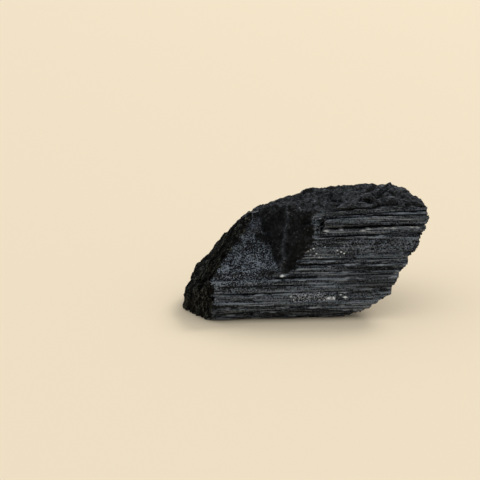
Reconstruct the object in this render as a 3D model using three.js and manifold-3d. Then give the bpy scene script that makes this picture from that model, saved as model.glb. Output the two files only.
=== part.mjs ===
// A rough crystal of black tourmaline: a long prism with bulging, lengthwise striated sides that lies on one
// of its faces. Both ends and the top are broken, and a notch with two faces is broken out of its upper left
// shoulder. Millimetres, +Z up, +X along the crystal's own axis. The origin is the middle of the underside.

import * as THREE from "three";
import { mergeVertices } from "three/addons/utils/BufferGeometryUtils.js";
import Module from "manifold-3d";

const wasm = await Module();
wasm.setup();

// Driving dimensions

const BLANK_LENGTH = 76; // the prism before its ends are broken off
const CENTRE = new THREE.Vector3(0, 0, 13); // a point deep inside the crystal
const BLOCK_SIZE = 78; // side of a block that is broken away
const BLOCK_THICKNESS = 40;
const BREAK_GRID = 1.3; // spacing of the points on a broken face
const FINE_SHARE = 0.45; // share of a broken face's roughness that its smaller lumps take
const FINE_SCALE = 2.3; // how much smaller those are
const FINE_SEED = 0.5; // sets their chance apart from that of the larger lumps

// Lanes of the faces at the back, drawn by chance between these sizes
const LANE_NARROW = 0.7;
const LANE_WIDE = 2.8;
const LANE_DEEPEST = 0.9;

// The prism's faces in order round the section. A face looks along its angle, in degrees from +Y towards +Z,
// and lies at its reach from the origin. Lanes are listed down the face, each as the height of its lower edge
// and its depth below the face. A face with a seed has lanes drawn by chance.
const PRISM_FACES = {
  underside: { angle: -90, reach: 0 },
  back_low: { angle: -37, reach: 8, seed: 11 },
  back: { angle: 3, reach: 14.4, seed: 12 },
  back_up: { angle: 37, reach: 21.4, seed: 13 },
  front: {
    angle: 168.7,
    reach: 14,
    lanes: [
      [27.6, 0.2], [27.1, 0.7], [26.1, 0.2], [25.7, 0.6], [25, 0.2], [24.7, 0.7],
      [22.5, 0], [22, 1.2], [20.4, 0.4], [20, 0.9], [18.4, 0.25], [16.2, 0.45],
      [15.6, 0.65], [14.8, 0.1], [14.2, 0.9], [13.6, 0.3], [13.2, 0.8], [11.5, 0.1],
      [11.1, 0.8], [10.5, 0.3], [10.1, 1], [8.9, 0.05], [8.6, 0.4], [7.1, 0.1],
      [6.8, 0.6], [5.3, 0.1], [5, 0.35], [4.5, 0.15],
    ],
  },
  front_low: {
    angle: 201.2,
    reach: 10.9,
    lanes: [[3.9, 0.1], [3.4, 0.7], [2.7, 0], [2.3, 0.6], [1.4, 0.1], [1, 0.7], [0, 0.25]],
  },
};

// Lengths of lane that are missing on a striated face: where along X, between which heights and how deep
const LANE_GAPS = [
  { face: "front", along: [-8, 3.6], heights: [20.2, 27.6], depth: 1 },
  { face: "front", along: [-8, 10.3], heights: [14.6, 15.8], depth: 0.6 },
  { face: "front", along: [6.4, 30], heights: [11.4, 12.8], depth: 0.55 },
  { face: "front", along: [-4.6, 6.3], heights: [5.2, 7], depth: 0.5 },
  { face: "front", along: [9.8, 30], heights: [7.2, 8.2], depth: 0.5 },
  { face: "front", along: [-21, -12.5], heights: [5.2, 6], depth: 0.45 },
  { face: "front_low", along: [5.6, 10.3], heights: [1.9, 2.6], depth: 1.2 },
  { face: "front_low", along: [-14.4, -13.6], heights: [0.6, 2.1], depth: 1.1 },
  { face: "front_low", along: [-21, -15.5], heights: [1.3, 2.2], depth: 0.6 },
  { face: "back", along: [-12, 4], heights: [10.5, 13], depth: 1.2 },
  { face: "back", along: [2, 26], heights: [5.8, 7.4], depth: 1.1 },
  { face: "back", along: [-30, -6], heights: [4.6, 5.8], depth: 0.9 },
  { face: "back_up", along: [-2, 13], heights: [20.2, 22], depth: 1.2 },
  { face: "back_up", along: [8, 30], heights: [17.2, 18.8], depth: 1 },
];

// Broken faces. A face looks along its facing and lies at its reach from the origin. Rough is its deepest
// relief, and lump the usual size of its lumps across and up the face. Where it has a ledge, lanes of that
// height end one behind the other.
const BREAKS = {
  top_front: { facing: [-0.06, -0.42, 0.905], reach: 27.4, rough: 2.2, lump: [6, 3.4], seed: 1 },
  top_back: { facing: [-0.06, 0.5, 0.864], reach: 25.6, rough: 2.2, lump: [6, 4], seed: 2 },
  top_left: { facing: [-0.258, -0.246, 0.934], reach: 26.7, rough: 1.4, lump: [4, 4], seed: 3 },
  top_left_back: { facing: [-0.383, 0.442, 0.811], reach: 25.3, rough: 1.8, lump: [6, 4], seed: 4 },
  top_right: { facing: [0.5, 0.1, 0.86], reach: 36.2, rough: 1, lump: [4, 4], seed: 5 },
  left_end: { facing: [-0.778, -0.073, 0.624], reach: 26.6, rough: 1.5, lump: [3, 8], seed: 6 },
  left_low: { facing: [-0.809, -0.587, -0.02], reach: 26.8, rough: 1.3, lump: [3, 5], seed: 7 },
  left_back: { facing: [-0.597, 0.498, 0.629], reach: 24, rough: 1.5, lump: [3, 7], seed: 8 },
  left_tip: { facing: [-0.93, 0.36, 0.08], reach: 27.2, rough: 0.8, lump: [4, 5], seed: 9 },
  right_end: { facing: [0.833, 0.198, -0.516], reach: 11, rough: 0.9, lump: [4, 4], ledge: 2.9, seed: 20 },
  right_top: { facing: [0.974, 0.195, -0.117], reach: 23.3, rough: 0.9, lump: [4, 3], seed: 21 },
  right_low: { facing: [0.505, 0.202, -0.839], reach: 2.7, rough: 0.6, lump: [4, 4], ledge: 2.6, seed: 22 },
};
const LEDGE_DEPTH = 1.2; // how far one lane can end behind the next
const LEDGE_LENGTH = 4; // a ledge's length, in times its height

// The notch is what lies beyond both of these faces.
const NOTCH_FACES = {
  slope: { facing: [0, -0.769, 0.639], reach: 16.2, rough: 0.55, lump: [3.4, 3.4], seed: 30 },
  riser: { facing: [-0.575, -0.705, 0.416], reach: 16.5, rough: 0.7, lump: [2.6, 9], seed: 31 },
};

// Gashes across the top: their middle, their direction and their length, width and depth
const GASHES = [
  { middle: [17.5, -3.4, 28.6], direction: [0.62, 0.69, 0.36], size: [7.5, 1.1, 3] },
  { middle: [13.1, -6.3, 27.1], direction: [1, 0.1, 0], size: [3.4, 0.8, 2] },
  { middle: [-4, 4, 26.2], direction: [0.8, 0.6, -0.2], size: [9, 1.2, 2.4] },
];

// Pits on the front between these places along X and heights
const PITS = { count: 20, along: [7, 24], heights: [15.8, 19.8], smallest: 0.3, largest: 0.7, seed: 40 };

const COLOUR = 0x24262a;
const ROUGHNESS = 0.45;

// Chance and noise

// A repeatable number from 0 to 1 for each pair of whole numbers and seed.
function chance(i, j, seed) {
  const wave = Math.sin(i * 127.1 + j * 311.7 + seed * 74.7) * 43758.5453;
  return wave - Math.floor(wave);
}

// Smooth noise from 0 to 1: chance at whole numbers, eased between them.
function noise(x, y, seed) {
  const i = Math.floor(x);
  const j = Math.floor(y);
  const ease = (t) => t * t * (3 - 2 * t);
  const a = ease(x - i);
  const b = ease(y - j);
  const low = THREE.MathUtils.lerp(chance(i, j, seed), chance(i + 1, j, seed), a);
  const high = THREE.MathUtils.lerp(chance(i, j + 1, seed), chance(i + 1, j + 1, seed), a);
  return THREE.MathUtils.lerp(low, high, b);
}

// Solids

function solidOf(geometry) {
  const bare = geometry.clone();
  bare.deleteAttribute("normal");
  bare.deleteAttribute("uv");
  const merged = mergeVertices(bare);
  const triVerts = new Uint32Array(merged.index.array);
  return new wasm.Manifold(
    new wasm.Mesh({ numProp: 3, vertProperties: merged.attributes.position.array, triVerts }),
  );
}

function geometryOf(solid) {
  const mesh = solid.getMesh();
  const geometry = new THREE.BufferGeometry();
  geometry.setAttribute("position", new THREE.BufferAttribute(mesh.vertProperties, 3));
  geometry.setIndex(new THREE.BufferAttribute(mesh.triVerts, 1));
  return geometry;
}

// The striated prism

// A face's outward direction in the section, whose two axes are Y and Z.
function sectionFacing(face) {
  const angle = THREE.MathUtils.degToRad(face.angle);
  return new THREE.Vector2(Math.cos(angle), Math.sin(angle));
}

// Where two faces of the section meet, each moved in by a depth.
function sectionCorner(face, next, depth = 0, nextDepth = 0) {
  const a = sectionFacing(face);
  const b = sectionFacing(next);
  const reach = face.reach - depth;
  const nextReach = next.reach - nextDepth;
  const across = a.cross(b);
  const y = (reach * b.y - nextReach * a.y) / across;
  const z = (nextReach * a.x - reach * b.x) / across;
  return new THREE.Vector2(y, z);
}

// Lanes of a face as [end, depth] along its line from one corner to the next. Chance leaves the lanes at the
// two corners wide.
function lanesOf(face, from, to) {
  const length = from.distanceTo(to);
  if (face.lanes) {
    return face.lanes.map(([height, depth]) => [(length * (height - from.y)) / (to.y - from.y), depth]);
  }
  if (!face.seed) {
    return [[length, 0]];
  }
  const lanes = [];
  let end = LANE_WIDE;
  for (let i = 0; end < length - LANE_WIDE; i += 1) {
    lanes.push([end, LANE_DEEPEST * chance(i, 1, face.seed)]);
    end += THREE.MathUtils.lerp(LANE_NARROW, LANE_WIDE, chance(i, 0, face.seed) ** 2);
  }
  return [...lanes, [length, 0]];
}

// The section's outline: at each corner the point where the two lanes there meet, and at each lane's end a
// step from its own depth to the next lane's.
function prismOutline() {
  const faces = Object.values(PRISM_FACES);
  const before = (i) => faces.at(i - 1);
  const after = (i) => faces[(i + 1) % faces.length];
  const lanes = faces.map((face, i) =>
    lanesOf(face, sectionCorner(before(i), face), sectionCorner(face, after(i))),
  );
  return faces.flatMap((face, i) => {
    const from = sectionCorner(before(i), face);
    const facing = sectionFacing(face);
    const along = new THREE.Vector2(-facing.y, facing.x);
    const point = (place, depth) =>
      from.clone().addScaledVector(along, place).addScaledVector(facing, -depth);
    const depths = lanes[i].map(([, depth]) => depth);
    const lastBefore = lanes.at(i - 1).at(-1)[1];
    const corner = sectionCorner(before(i), face, lastBefore, depths[0]);
    const ends = lanes[i].slice(0, -1);
    return [corner, ...ends.flatMap(([end, depth], k) => [point(end, depth), point(end, depths[k + 1])])];
  });
}

function prismSolid() {
  const options = { depth: BLANK_LENGTH, bevelEnabled: false };
  const geometry = new THREE.ExtrudeGeometry(new THREE.Shape(prismOutline()), options);
  const lengthwise = new THREE.Matrix4().makeBasis(
    new THREE.Vector3(0, 1, 0),
    new THREE.Vector3(0, 0, 1),
    new THREE.Vector3(1, 0, 0),
  );
  geometry.translate(0, 0, -BLANK_LENGTH / 2);
  geometry.applyMatrix4(lengthwise);
  return solidOf(geometry);
}

// What is broken away

// Turns and moves a shape so that its own Z looks along facing, its Y points up the face and its origin is
// at the given place.
function placeOn(geometry, facing, place) {
  const out = facing.clone().normalize();
  const across = new THREE.Vector3(0, 0, 1).cross(out).normalize();
  const up = out.clone().cross(across);
  geometry.applyMatrix4(new THREE.Matrix4().makeBasis(across, up, out).setPosition(place));
}

// How far a broken face lies below its plane at one point, across and up the face.
function breakDepth(face, across, up) {
  const [wide, tall] = face.lump;
  const coarse = noise(across / wide, up / tall, face.seed);
  const fine = noise((across * FINE_SCALE) / wide, (up * FINE_SCALE) / tall, face.seed + FINE_SEED);
  let depth = face.rough * THREE.MathUtils.lerp(coarse, fine, FINE_SHARE);
  if (face.ledge) {
    const row = Math.round(up / face.ledge);
    const place = Math.round(across / (LEDGE_LENGTH * face.ledge));
    depth += LEDGE_DEPTH * chance(row, place, face.seed);
  }
  return depth;
}

// A block beyond a broken face, rough on the side that meets the crystal.
function blockSolid(face) {
  const facing = new THREE.Vector3(...face.facing).normalize();
  const steps = Math.round(BLOCK_SIZE / BREAK_GRID);
  const geometry = new THREE.BoxGeometry(BLOCK_SIZE, BLOCK_SIZE, BLOCK_THICKNESS, steps, steps, 1);
  geometry.translate(0, 0, BLOCK_THICKNESS / 2);
  const points = geometry.attributes.position;
  for (let i = 0; i < points.count; i += 1) {
    if (points.getZ(i) < BLOCK_THICKNESS / 2) {
      points.setZ(i, -breakDepth(face, points.getX(i), points.getY(i)));
    }
  }
  const place = CENTRE.clone().addScaledVector(facing, face.reach - facing.dot(CENTRE));
  placeOn(geometry, facing, place);
  return solidOf(geometry);
}

function notchSolid() {
  return blockSolid(NOTCH_FACES.slope).intersect(blockSolid(NOTCH_FACES.riser));
}

// A point of a striated face, out from it by the given distance.
function pointOn(face, along, height, out) {
  const facing = sectionFacing(face);
  const y = (face.reach - facing.y * height) / facing.x;
  return new THREE.Vector3(along, y + facing.x * out, height + facing.y * out);
}

// A bar that takes a length of lane away, as deep as the gap and as far out again.
function laneGapSolid(gap) {
  const face = PRISM_FACES[gap.face];
  const facing = sectionFacing(face);
  const [start, end] = gap.along;
  const [low, high] = gap.heights;
  const tall = (high - low) / Math.abs(facing.x);
  const geometry = new THREE.BoxGeometry(end - start, tall, gap.depth * 2);
  const middle = pointOn(face, (start + end) / 2, (low + high) / 2, 0);
  placeOn(geometry, new THREE.Vector3(0, facing.x, facing.y), middle);
  return solidOf(geometry);
}

// A gash is a square bar turned on its edge, so that it cuts a V.
function gashSolid(gash) {
  const [length, width, depth] = gash.size;
  const geometry = new THREE.BoxGeometry(length, width, width);
  geometry.rotateX(Math.PI / 4);
  geometry.scale(1, 1, depth / width);
  const along = new THREE.Vector3(...gash.direction).normalize();
  const turn = new THREE.Quaternion().setFromUnitVectors(new THREE.Vector3(1, 0, 0), along);
  geometry.applyQuaternion(turn);
  geometry.translate(...gash.middle);
  return solidOf(geometry);
}

function pitSolid(i) {
  const radius = THREE.MathUtils.lerp(PITS.smallest, PITS.largest, chance(i, 0, PITS.seed));
  const geometry = new THREE.OctahedronGeometry(radius);
  const along = THREE.MathUtils.lerp(...PITS.along, chance(i, 1, PITS.seed));
  const height = THREE.MathUtils.lerp(...PITS.heights, chance(i, 2, PITS.seed));
  geometry.translate(...pointOn(PRISM_FACES.front, along, height, -radius));
  return solidOf(geometry);
}

// The crystal

function crystalGeometry() {
  const broken = [
    ...LANE_GAPS.map(laneGapSolid),
    ...Object.values(BREAKS).map(blockSolid),
    notchSolid(),
    ...GASHES.map(gashSolid),
    ...Array.from({ length: PITS.count }, (_, i) => pitSolid(i)),
  ];
  const solid = broken.reduce((rest, block) => rest.subtract(block), prismSolid());
  const geometry = geometryOf(solid).toNonIndexed();
  geometry.computeVertexNormals();
  geometry.computeBoundingBox();
  const { min, max } = geometry.boundingBox;
  geometry.translate(-(min.x + max.x) / 2, -(min.y + max.y) / 2, -min.z);
  return geometry;
}

const material = new THREE.MeshStandardMaterial({ color: COLOUR, roughness: ROUGHNESS, metalness: 0 });
const crystal = new THREE.Mesh(crystalGeometry(), material);
crystal.name = "crystal";

const tourmaline = new THREE.Group();
tourmaline.add(crystal);

export default tourmaline;
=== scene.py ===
"""A rough crystal of black tourmaline on a plain cream floor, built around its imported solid."""

import math
from dataclasses import dataclass

import bpy
import numpy as np
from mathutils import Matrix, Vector


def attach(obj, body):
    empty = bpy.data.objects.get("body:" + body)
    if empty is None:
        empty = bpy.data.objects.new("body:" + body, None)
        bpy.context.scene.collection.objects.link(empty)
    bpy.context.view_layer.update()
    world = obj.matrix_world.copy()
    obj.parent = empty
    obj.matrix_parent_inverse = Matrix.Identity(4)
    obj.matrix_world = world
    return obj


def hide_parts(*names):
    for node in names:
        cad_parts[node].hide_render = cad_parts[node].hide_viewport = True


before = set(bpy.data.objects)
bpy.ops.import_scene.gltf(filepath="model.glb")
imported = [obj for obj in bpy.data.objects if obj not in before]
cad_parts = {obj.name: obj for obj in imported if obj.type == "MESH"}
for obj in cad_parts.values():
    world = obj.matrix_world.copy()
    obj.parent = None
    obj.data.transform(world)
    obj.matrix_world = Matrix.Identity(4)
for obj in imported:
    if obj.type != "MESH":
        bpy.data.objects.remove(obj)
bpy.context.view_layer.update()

bl_info = {
    "name": "Rough Tourmaline",
    "version": (1, 0, 0),
    "blender": (4, 5, 0),
    "location": "View3D > Sidebar > Tourmaline",
    "description": "Builds a rough black tourmaline crystal and the plain stage that it lies on",
    "category": "Add Mesh",
}

# The shape, in millimetres, with X along the crystal, Y away from the viewer and Z up

MM = 0.001
MIDDLE = np.array([-0.737, 0.408, 0.0])  # the middle of the underside, in the frame of the faces below
CENTRE = np.array([0.0, 0.0, 13.0])  # a point deep inside, from which places on a broken face are measured


@dataclass(frozen=True)
class Face:
    """A face that looks along facing and lies at reach from the origin, with the finish of its surface.

    Rough is the depth of its relief and lump the usual size of its lumps across and up the face. Where it
    has a ledge, lanes of that height end one behind the other.
    """

    name: str
    facing: tuple
    reach: float
    finish: str
    seed: float = 0.0
    rough: float = 0.0
    lump: tuple = (4.0, 4.0)
    ledge: float = 0.0

    def out(self):
        """The facing as an array of length one."""
        facing = np.array(self.facing)
        return facing / np.linalg.norm(facing)

    def beyond(self, points):
        """How far points lie beyond the middle of the face's relief."""
        return points @ self.out() - self.reach + self.rough / 2


def section_facing(angle):
    """The direction in the section at an angle in degrees from Y towards Z."""
    turn = math.radians(angle)
    return (0.0, math.cos(turn), math.sin(turn))


# The prism's sides in order round the section
SIDES = [
    Face("underside", section_facing(-90), 0.0, "flat"),
    Face("back_low", section_facing(-37), 8.0, "lanes", seed=11),
    Face("back", section_facing(3), 14.4, "lanes", seed=12),
    Face("back_up", section_facing(37), 21.4, "lanes", seed=13),
    Face("front", section_facing(168.7), 14.0, "lanes", seed=14),
    Face("front_low", section_facing(201.2), 10.9, "lanes", seed=15),
]

# Lanes listed down a face, each as the height of its lower edge and its depth below the face
LANES = {
    "front": [
        (27.6, 0.2), (27.1, 0.7), (26.1, 0.2), (25.7, 0.6), (25.0, 0.2), (24.7, 0.7),
        (22.6, 0.0), (22.0, 1.3), (20.4, 0.4), (20.0, 0.9), (18.4, 0.25), (16.2, 0.45),
        (15.6, 0.65), (14.8, 0.1), (14.2, 0.9), (13.6, 0.3), (13.2, 0.8), (11.5, 0.1),
        (11.1, 0.8), (10.5, 0.3), (10.1, 1.0), (8.9, 0.05), (8.6, 0.4), (7.1, 0.1),
        (6.8, 0.6), (5.3, 0.1), (5.0, 0.35), (4.5, 0.15),
    ],
    "front_low": [
        (3.9, 0.1), (3.4, 0.7), (2.7, 0.0), (2.3, 0.6), (1.4, 0.1), (1.0, 0.7), (0.45, 0.25), (0.0, 0.9),
    ],
}

# How far lanes wander up and down, and how far apart their bends are along X and up
LANE_WAVE = 0.08
WAVE_LONG = 11.0
WAVE_TALL = 4.0

# Lanes of the other sides, drawn by chance: their widths, their depth and the draws that these come from
LANE_NARROW = 0.7
LANE_WIDE = 2.8
LANE_DEEPEST = 0.9
LANE_MOST = 60  # more lanes than any face has room for
LANE_WIDTH_DRAW = 0
LANE_DEPTH_DRAW = 1

# Lengths of lane that are missing from a face: from and to along X, between which heights, how deep and how
# ragged their ends are
LANE_GAPS = {
    "front": [
        (-8.0, 2.6, 25.0, 27.6, 0.8, 4.0), (-8.0, 3.6, 22.2, 25.0, 1.0, 0.3),
        (-8.0, 3.6, 20.2, 22.2, 1.0, 2.0), (-8.0, 10.3, 14.6, 15.8, 0.6, 2.0),
        (6.4, 30.0, 11.4, 12.8, 0.55, 0.6), (-4.6, 6.3, 5.2, 7.0, 0.5, 0.6),
        (9.8, 30.0, 7.2, 8.2, 0.5, 3.0), (-21.0, -12.5, 5.2, 6.0, 0.45, 3.0),
        (2.5, 3.6, 22.0, 24.8, 1.9, 0.3), (13.0, 27.0, 20.0, 20.4, 1.1, 2.0),
    ],
    "front_low": [
        (5.6, 10.3, 1.9, 2.6, 1.2, 0.5), (-14.4, -13.6, 0.6, 2.1, 1.1, 0.2),
        (-21.0, -15.5, 1.3, 2.2, 0.6, 1.0),
    ],
    "back": [
        (-12.0, 4.0, 10.5, 13.0, 1.2, 2.0), (2.0, 26.0, 5.8, 7.4, 1.1, 2.0),
        (-30.0, -6.0, 4.6, 5.8, 0.9, 2.0),
    ],
    "back_up": [
        (-2.0, 13.0, 20.2, 22.0, 1.0, 6.0), (8.0, 30.0, 17.2, 18.8, 1.0, 2.0),
    ],
}
GAP_ROW = 0.33  # height of the threads that a lane's ragged end breaks into
GAP_DRAW = 5

BREAKS = [
    Face("top_front", (-0.06, -0.42, 0.905), 27.4, "hackly", 1, 2.2, (6, 3.4)),
    Face("top_back", (-0.06, 0.5, 0.864), 25.6, "hackly", 2, 2.2, (6, 4)),
    Face("top_left", (-0.258, -0.246, 0.934), 26.7, "hackly", 3, 1.4, (4, 4)),
    Face("top_left_back", (-0.383, 0.442, 0.811), 25.3, "hackly", 4, 1.8, (6, 4)),
    Face("top_right", (0.5, 0.1, 0.86), 36.2, "hackly", 5, 1.0, (4, 4)),
    Face("left_end", (-0.778, -0.073, 0.624), 26.6, "bark", 6, 1.5, (3, 8)),
    Face("left_low", (-0.809, -0.587, -0.02), 26.8, "bark", 7, 1.3, (3, 5)),
    Face("left_back", (-0.597, 0.498, 0.629), 24.0, "bark", 8, 1.5, (3, 7)),
    Face("left_tip", (-0.93, 0.36, 0.08), 27.2, "bark", 9, 0.8, (4, 5)),
    Face("right_end", (0.833, 0.198, -0.516), 11.0, "splintered", 20, 0.9, (4, 4), 2.9),
    Face("right_top", (0.974, 0.195, -0.117), 23.3, "splintered", 21, 0.9, (4, 3)),
    Face("right_low", (0.505, 0.202, -0.839), 2.7, "splintered", 22, 0.6, (4, 4), 2.6),
]
LEDGE_DEPTH = 1.2  # by which one lane may end behind the next
LEDGE_LENGTH = 4  # of a ledge, in times its height
FINE_SHARE = 0.45  # of the finer lumps in a broken face's relief
FINE_SCALE = 2.3  # how many of them go to a coarse lump
FINE_SEED = 0.5

# The right end's plane steps back from the first heights on and comes forward again at the second
STEP_LOW = (3.4, 5.0)
STEP_HIGH = (8.8, 11.0)
STEP_DEPTH = 1.3

# The notch is what lies beyond both of these faces.
SLOPE = Face("slope", (0.0, -0.769, 0.639), 16.2, "sugary", 30, 0.55, (3.4, 3.4))
RISER = Face("riser", (-0.575, -0.705, 0.416), 16.5, "smooth", 31, 0.7, (2.6, 9))
TROUGH_WIDTH = 1.1  # of the trough along the foot of the riser, measured off its plane
TROUGH_DEPTH = 0.7
SLOPE_ROUGH_FROM = 17.5  # height from which the slope gets lumpier, up to full lumps
SLOPE_ROUGH_FULL = 21.0
SLOPE_LUMP = (2.4, 1.8)
SLOPE_LUMP_DEPTH = 1.5

# The riser's break laps onto the front, this far from its plane at these heights
RIM_HEIGHTS = (10.2, 11.3, 13.4, 15.6, 17.5, 20.2, 25.8)
RIM_WIDTHS = (0.1, 0.45, 1.05, 1.5, 1.5, 1.15, 1.3)
RIM_WANDER = 0.5  # how uneven its width is
RIM_DEPTH = 0.8  # how deep it is beside the riser

# Each cut takes away what lies beyond all of its faces.
CUTS = [[face] for face in SIDES + BREAKS] + [[SLOPE, RISER]]
FINISHES = ["flat", "lanes", "hackly", "bark", "splintered", "sugary", "smooth"]

# Gashes across the top: their middle, their direction and their length, half width and depth
GASHES = [
    ((17.8, -3.0, 28.7), (0.62, 0.69, 0.36), (7.6, 1.2, 2.2)),
    ((13.1, -6.3, 27.1), (1.0, 0.1, 0.0), (3.4, 0.6, 1.4)),
    ((-4.0, 4.0, 26.2), (0.8, 0.6, -0.2), (9.0, 0.85, 1.7)),
]
GASH_FADE = 0.3  # the share of half its length over which a gash ends

# Pits on the front, with radii, places along X and heights between these
PIT_COUNT = 60
PIT_RADII = (0.15, 0.5)
PIT_ALONG = (5.0, 24.5)
PIT_HEIGHTS = (15.6, 20.0)
PIT_SEED = 40

# How far from a broken top face a striated face is worn, and how deep
WEAR_WIDTH = 1.3
WEAR_DEPTH = 0.8


@dataclass(frozen=True)
class Layer:
    """One pattern of a finish: its depth, its usual length along the face and its height up the face.

    Lean slants the pattern and tilt turns its chips.
    """

    pattern: str
    depth: float
    long: float
    tall: float
    lean: float = 0.0
    tilt: float = 1.0


LAYERS = {
    "flat": [],
    "lanes": [
        Layer("bars", 0.14, 14, 1.1),
        Layer("bars", 0.16, 6, 0.46),
        Layer("streaks", 0.16, 3, 0.31),
    ],
    "hackly": [
        Layer("chips", 0.8, 5.6, 4.2, tilt=0.9),
        Layer("chips", 0.32, 1.9, 1.4, tilt=1.2),
        Layer("chips", 0.13, 0.8, 0.7, tilt=1.2),
    ],
    "bark": [
        Layer("chips", 0.35, 1.0, 3.0),
        Layer("chips", 0.3, 0.7, 2.2, lean=0.5),
        Layer("chips", 0.26, 0.7, 1.8, lean=-0.6),
    ],
    "splintered": [
        Layer("bars", 0.25, 6, 1.1),
        Layer("chips", 0.25, 1.4, 1.0, tilt=1.4),
    ],
    "sugary": [
        Layer("chips", 0.2, 1.9, 1.6, tilt=1.2),
        Layer("chips", 0.26, 0.6, 0.6, tilt=1.8),
    ],
    "smooth": [
        Layer("chips", 0.25, 1.1, 4.5),
        Layer("chips", 0.12, 0.6, 1.2),
    ],
}
LAYER_SEED = 0.13  # sets the chance of one layer apart from the next

# Zones of the front: from and to along X, between which heights, how softly they end, and their share
SUGAR_ZONES = [
    (-28.0, -8.0, 7.2, 14.0, 2.4, 1.0),
    (-4.6, 6.3, 5.1, 7.0, 0.5, 1.0),
    (6.0, 27.0, 15.2, 19.4, 1.2, 0.55),
    (-7.0, 4.0, 16.5, 24.5, 1.6, 0.45),
]
STAIN_ZONES = [
    (7.0, 17.0, 9.8, 11.0, 0.6, 0.8),
    (11.0, 21.0, 6.0, 10.0, 1.6, 0.4),
    (-22.0, -4.0, 3.2, 4.4, 0.6, 0.6),
]
# Painted glints: specks in these zones
GLINT_SPECK_ZONES = [
    (-1.0, 11.0, 14.4, 18.6, 1.2, 0.74),
    (-6.0, 11.0, 4.8, 7.2, 0.8, 0.5),
    (-26.0, 28.0, 0.0, 27.0, 1.0, 0.06),
]
# Painted glint specks on the riser
RISER_GLINT_SPECKS = 0.045
# Painted glints in the sugary grain of these zones
SUGAR_GLINT_ZONES = [
    (-4.9, 0.6, 4.8, 7.1, 0.4, 1.0),
    (-0.4, 4.4, 4.8, 7.1, 0.4, 0.6),
    (-24.0, -17.0, 9.0, 12.0, 1.5, 0.2),
]
ZONE_WANDER = 0.7  # how unevenly a zone ends, in times its softness
ZONE_WAVE_LONG = 2.0
ZONE_WAVE_TALL = 0.7
ZONE_END_SOFT = 2.0  # how much more softly a zone ends along X than up and down
SUGAR_OVER_LANES = 0.85  # how far full sugar covers the lanes

# Sparks, which are painted glints on the front: where along X, at which height, half their length, half
# their height and how bright
GLINT_SPARKS = [
    (3.9, 21.3, 1.1, 0.24, 0.55), (7.4, 21.5, 0.8, 0.24, 0.3), (12.6, 21.2, 0.9, 0.24, 0.44),
    (13.9, 21.5, 1.0, 0.24, 0.37), (18.0, 21.6, 0.9, 0.24, 0.3), (19.8, 21.6, 1.2, 0.24, 0.37),
    (24.2, 21.7, 0.8, 0.24, 0.33), (25.6, 21.6, 0.8, 0.24, 0.37), (4.3, 5.6, 0.75, 0.45, 1.0),
    (5.45, 5.6, 0.55, 0.5, 1.0), (8.2, 5.8, 0.7, 0.4, 0.75), (-6.7, 10.9, 0.7, 0.45, 0.8),
]
SPARK_CORE = 0.4  # the share of the way in from its edge after which a spark is as bright as in its middle

# How dark the surface is by place: painted shade on the riser, in the trough at its foot, on the back, near
# the floor and in the darkest grooves, and darker tone in patches of the slope and in zones of the front
# Painted shade of the riser and of its rim on the front, which face away from the light, less at its top
RISER_SHADE = 0.75
RISER_TOP_SHADE = 0.35
RISER_TOP = (22.5, 26.0)  # heights between which the riser gets as light as its top
SLOPE_TOP_DARK = 0.95  # in the dark patches of the slope's upper part
DARK_PATCH = 1.1  # their size
DARK_PATCH_RANGE = (0.4, 0.58)  # of noise, over which they begin
DARK_PATCH_FROM = (15.5, 18.5)  # heights between which they come in
# Dark zones of the front, listed as the zones above
DARK_ZONES = [
    (-13.0, -5.0, 10.2, 12.8, 0.9, 0.6),
    (5.0, 24.0, 5.0, 15.0, 3.0, 0.48),
    (13.0, 24.5, 15.2, 16.4, 0.6, 0.6),
]
# The darkest grooves of the front, darkened with painted shade: from and to along X, and their height
SHADED_GROOVE_LINES = [
    (10.0, 17.0, 14.7), (0.0, 10.0, 14.5), (-3.0, 9.0, 13.4), (-5.2, 7.3, 10.4), (7.6, 16.5, 10.7),
    (6.5, 17.0, 8.9), (8.5, 17.5, 7.2), (8.0, 15.0, 5.3), (-22.0, -6.0, 7.1), (-22.0, -5.0, 8.8),
]
LINE_TALL = 0.5
LINE_SOFT = 0.12
LINE_SHADE = 0.85
# Painted shade in the trough along the foot of the riser
FOOT_SHADE = 0.9  # in the trough along the foot of the riser
# Painted shade near the floor, where the faces turn under towards it
FLOOR_SHADE = 0.45  # near the floor
FLOOR_SHADE_TO = 4.5
# Painted shade on the back, which the key lights, offsetting the painted sheen in the streaks' colour
BACK_SHADE = 0.5
BACK_FROM = (0.0, 5.0)  # places along Y between which the back's shade comes in

# How dull a splintered end, the worn strip beside the top and the slope's upper part are
SPLINTER_ROUGH = 0.6
WORN_ROUGH = 0.3
SLOPE_TOP_ROUGH = 0.5

# The weathered rind laps over the slope's edge, this far at these heights
RIND_HEIGHTS = (10.0, 16.0, 21.0)
RIND_LAPS = (0.4, 0.4, 1.4)
RIND_WANDER = 0.9  # how uneven its edge is

# The ridge that runs down the riser: where it crosses the level of CENTRE, its lean, half width and height
RIDGE_ACROSS = 0.7
RIDGE_LEAN = -0.15
RIDGE_WIDTH = 1.3
RIDGE_HEIGHT = 0.7
RIDGE_WANDER = 1.1  # how far it wanders to the sides
RIDGE_WAVE = 1.7  # how far it runs from one bend to the next
RIDGE_GRAIN = 0.4  # how much grain shows on it

# The mesh: usual spacing of its points round each side and along the crystal, and its rows at each end
SPACING_ROUND = {
    "underside": 1.4, "back_low": 0.5, "back": 0.4, "back_up": 0.36,
    "top_back": 0.28, "top_front": 0.22, "front": 0.15, "front_low": 0.15,
}
SPACING_ALONG = 0.26
ROWS_AT_END = 44
POLE_ANGLE = math.radians(88.5)  # by which the last row of rays at each end is turned to the axis

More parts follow.
